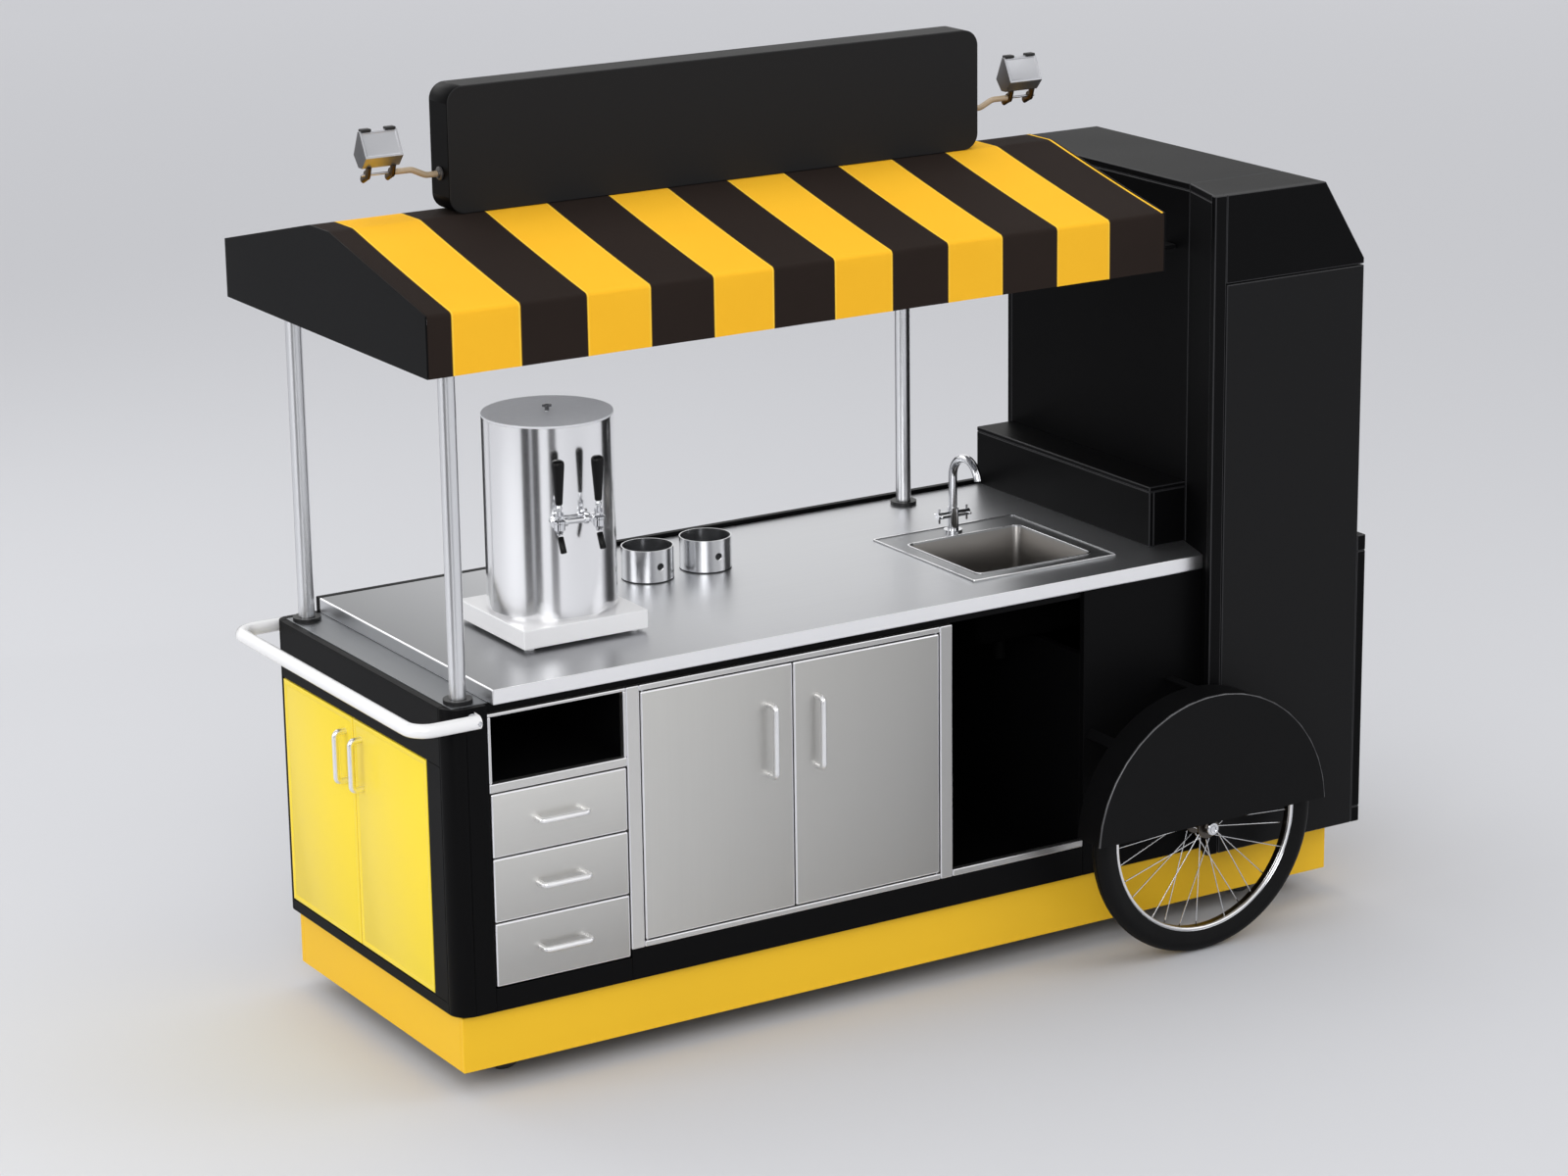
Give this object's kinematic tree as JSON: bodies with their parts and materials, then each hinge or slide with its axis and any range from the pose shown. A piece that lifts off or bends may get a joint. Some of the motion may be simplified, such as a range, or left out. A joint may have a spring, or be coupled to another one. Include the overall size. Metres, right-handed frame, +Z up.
{
  "type": "coffee cart",
  "caption": "Coffee cart with striped canopy over a steel counter, drawers, cupboards, sink with tap, drinks urn, bare sign with tilting lights, service tower and spoked wheels.",
  "frame": {"origin": "on the floor under the middle of the cart's bounding box", "axes": "+Z up, -Y towards the customer side with the steel doors, -X towards the push handle, +X towards the tower"},
  "size_m": [2.647, 1.26, 2.2063],
  "materials": {
    "black_board": "black satin lacquered board",
    "yellow_board": "yellow satin lacquered board",
    "counter_steel": "brushed steel sheet over a light core",
    "door_steel": "satin steel faced door",
    "steel": "brushed steel",
    "chrome": "polished",
    "black_metal": "black powder coat",
    "frame_metal": "square tube, satin",
    "white_handle": "glossy white tube",
    "cloth": "taut striped canopy cloth",
    "tyre": "black tyre",
    "rubber": "caster tread",
    "birch": "birch ply",
    "white_base": "bright brushed plate",
    "black_grip": "glossy black",
    "arm_tan": "bronze paint",
    "lamp_grey": "pale grey cast lamp body",
    "sign_board": "bare black sign"
  },
  "bodies": {
    "cart": {"chassis_frame": "black_metal", "plinth_skirt": "yellow_board", "fixed_caster_forks": "steel", "carcass_panels": "black_board", "left_end_frame": "black_board", "front_face_frame": "steel", "door_pivots": "steel", "drawer_runners": "frame_metal", "countertop": "counter_steel", "end_ledge": "steel", "sink_bowl": "steel", "sink_waste": "chrome", "faucet_body": "chrome", "splash_box": "black_board", "tower_carcass": "black_board", "tower_front_frame": "black_board", "tower_front_panel": "black_board", "canopy_posts": "steel", "canopy_frame": "frame_metal", "canopy_cover": "cloth", "canopy_gables": "sign_board", "sign_frame": "sign_board", "sign_panels": "sign_board", "light_arms": "arm_tan", "push_handle": "white_handle", "wheel_axles": "chrome", "wheel_fenders": "black_metal", "urn_base": "white_base", "urn_body": "steel", "urn_taps": "chrome", "cup_rings": "steel"},
    "end_door_front": {"end_door_front": "yellow_board"},
    "end_door_back": {"end_door_back": "yellow_board"},
    "cabinet_door_left": {"cabinet_door_left": "door_steel"},
    "cabinet_door_right": {"cabinet_door_right": "door_steel"},
    "end_hatch": {"end_hatch": "black_board"},
    "drawer_lower": {"drawer_box_lower": "birch", "drawer_front_lower": "door_steel"},
    "drawer_middle": {"drawer_box_middle": "birch", "drawer_front_middle": "door_steel"},
    "drawer_upper": {"drawer_box_upper": "birch", "drawer_front_upper": "door_steel"},
    "wheel_front": {"wheel_front": "chrome", "tyre_front": "tyre"},
    "wheel_back": {"wheel_back": "chrome", "tyre_back": "tyre"},
    "swivel_fork_front": {"swivel_fork_front": "steel"},
    "swivel_fork_back": {"swivel_fork_back": "steel"},
    "caster_wheel_front_left": {"caster_wheel_front_left": "rubber"},
    "caster_wheel_back_left": {"caster_wheel_back_left": "rubber"},
    "caster_wheel_front_right": {"caster_wheel_front_right": "rubber"},
    "caster_wheel_back_right": {"caster_wheel_back_right": "rubber"},
    "light_head_left": {"light_head_left": "lamp_grey"},
    "light_head_right": {"light_head_right": "lamp_grey"},
    "tap_lever_left": {"tap_lever_left": "black_grip"},
    "tap_lever_right": {"tap_lever_right": "black_grip"},
    "urn_lid": {"urn_lid": "steel"},
    "faucet_spout": {"faucet_spout": "chrome"},
    "faucet_handle_left": {"faucet_handle_left": "chrome"},
    "faucet_handle_right": {"faucet_handle_right": "chrome"}
  },
  "joints": [
    {"name": "end_door_front_hinge", "type": "hinge", "parent": "cart", "child": "end_door_front", "pos_m": [-1.2115, -0.32, 0.5005], "axis": [0, 0, 1], "range_deg": [0, 105]},
    {"name": "end_door_back_hinge", "type": "hinge", "parent": "cart", "child": "end_door_back", "pos_m": [-1.2115, 0.401, 0.5005], "axis": [0, 0, -1], "range_deg": [0, 105]},
    {"name": "cabinet_door_left_hinge", "type": "hinge", "parent": "cart", "child": "cabinet_door_left", "pos_m": [-0.7285, -0.434, 0.582], "axis": [0, 0, -1], "range_deg": [0, 90]},
    {"name": "cabinet_door_right_hinge", "type": "hinge", "parent": "cart", "child": "cabinet_door_right", "pos_m": [0.0605, -0.434, 0.582], "axis": [0, 0, 1], "range_deg": [0, 90]},
    {"name": "end_hatch_hinge", "type": "hinge", "parent": "cart", "child": "end_hatch", "pos_m": [1.2825, 0.351, 0.568], "axis": [0, 0, 1], "range_deg": [0, 105]},
    {"name": "drawer_lower_slide", "type": "slide", "parent": "cart", "child": "drawer_lower", "axis": [0, -1, 0], "range_m": [0, 0.38]},
    {"name": "drawer_middle_slide", "type": "slide", "parent": "cart", "child": "drawer_middle", "axis": [0, -1, 0], "range_m": [0, 0.38]},
    {"name": "drawer_upper_slide", "type": "slide", "parent": "cart", "child": "drawer_upper", "axis": [0, -1, 0], "range_m": [0, 0.38]},
    {"name": "wheel_front_spin", "type": "hinge", "parent": "cart", "child": "wheel_front", "pos_m": [0.7325, -0.58, 0.32], "axis": [0, 1, 0], "continuous": true},
    {"name": "wheel_back_spin", "type": "hinge", "parent": "cart", "child": "wheel_back", "pos_m": [0.7325, 0.58, 0.32], "axis": [0, 1, 0], "continuous": true},
    {"name": "swivel_fork_front_turn", "type": "hinge", "parent": "cart", "child": "swivel_fork_front", "pos_m": [-1.0075, -0.308, 0.12], "axis": [0, 0, 1], "continuous": true},
    {"name": "swivel_fork_back_turn", "type": "hinge", "parent": "cart", "child": "swivel_fork_back", "pos_m": [-1.0075, 0.308, 0.12], "axis": [0, 0, 1], "continuous": true},
    {"name": "caster_front_left_spin", "type": "hinge", "parent": "swivel_fork_front", "child": "caster_wheel_front_left", "pos_m": [-1.0415, -0.308, 0.05], "axis": [0, 1, 0], "continuous": true},
    {"name": "caster_back_left_spin", "type": "hinge", "parent": "swivel_fork_back", "child": "caster_wheel_back_left", "pos_m": [-1.0415, 0.308, 0.05], "axis": [0, 1, 0], "continuous": true},
    {"name": "caster_front_right_spin", "type": "hinge", "parent": "cart", "child": "caster_wheel_front_right", "pos_m": [1.0585, -0.308, 0.05], "axis": [0, 1, 0], "continuous": true},
    {"name": "caster_back_right_spin", "type": "hinge", "parent": "cart", "child": "caster_wheel_back_right", "pos_m": [1.0585, 0.308, 0.05], "axis": [0, 1, 0], "continuous": true},
    {"name": "light_left_tilt", "type": "hinge", "parent": "cart", "child": "light_head_left", "pos_m": [-1.114, 0, 2.0253], "axis": [1, 0, 0], "range_deg": [-30, 45]},
    {"name": "light_right_tilt", "type": "hinge", "parent": "cart", "child": "light_head_right", "pos_m": [0.594, 0, 2.0253], "axis": [1, 0, 0], "range_deg": [-30, 45]},
    {"name": "tap_lever_left_pull", "type": "hinge", "parent": "cart", "child": "tap_lever_left", "pos_m": [-0.83521, -0.26963, 1.264], "axis": [0.9903, -0.1392, 0], "range_deg": [0, 35], "stiffness_Nm_per_rad": 0.4},
    {"name": "tap_lever_right_pull", "type": "hinge", "parent": "cart", "child": "tap_lever_right", "pos_m": [-0.74212, -0.28271, 1.264], "axis": [0.9903, -0.1392, 0], "range_deg": [0, 35], "stiffness_Nm_per_rad": 0.4},
    {"name": "urn_lid_lift", "type": "slide", "parent": "cart", "child": "urn_lid", "axis": [0, 0, 1], "range_m": [0, 0.14]},
    {"name": "faucet_spout_swivel", "type": "hinge", "parent": "cart", "child": "faucet_spout", "pos_m": [0.4435, 0.065, 1.014], "axis": [0, 0, 1], "range_deg": [-90, 90]},
    {"name": "faucet_handle_left_turn", "type": "hinge", "parent": "cart", "child": "faucet_handle_left", "pos_m": [0.4032, 0.065, 0.996], "axis": [-1, 0, 0], "range_deg": [0, 90]},
    {"name": "faucet_handle_right_turn", "type": "hinge", "parent": "cart", "child": "faucet_handle_right", "pos_m": [0.4838, 0.065, 0.996], "axis": [1, 0, 0], "range_deg": [0, 90]}
  ]
}
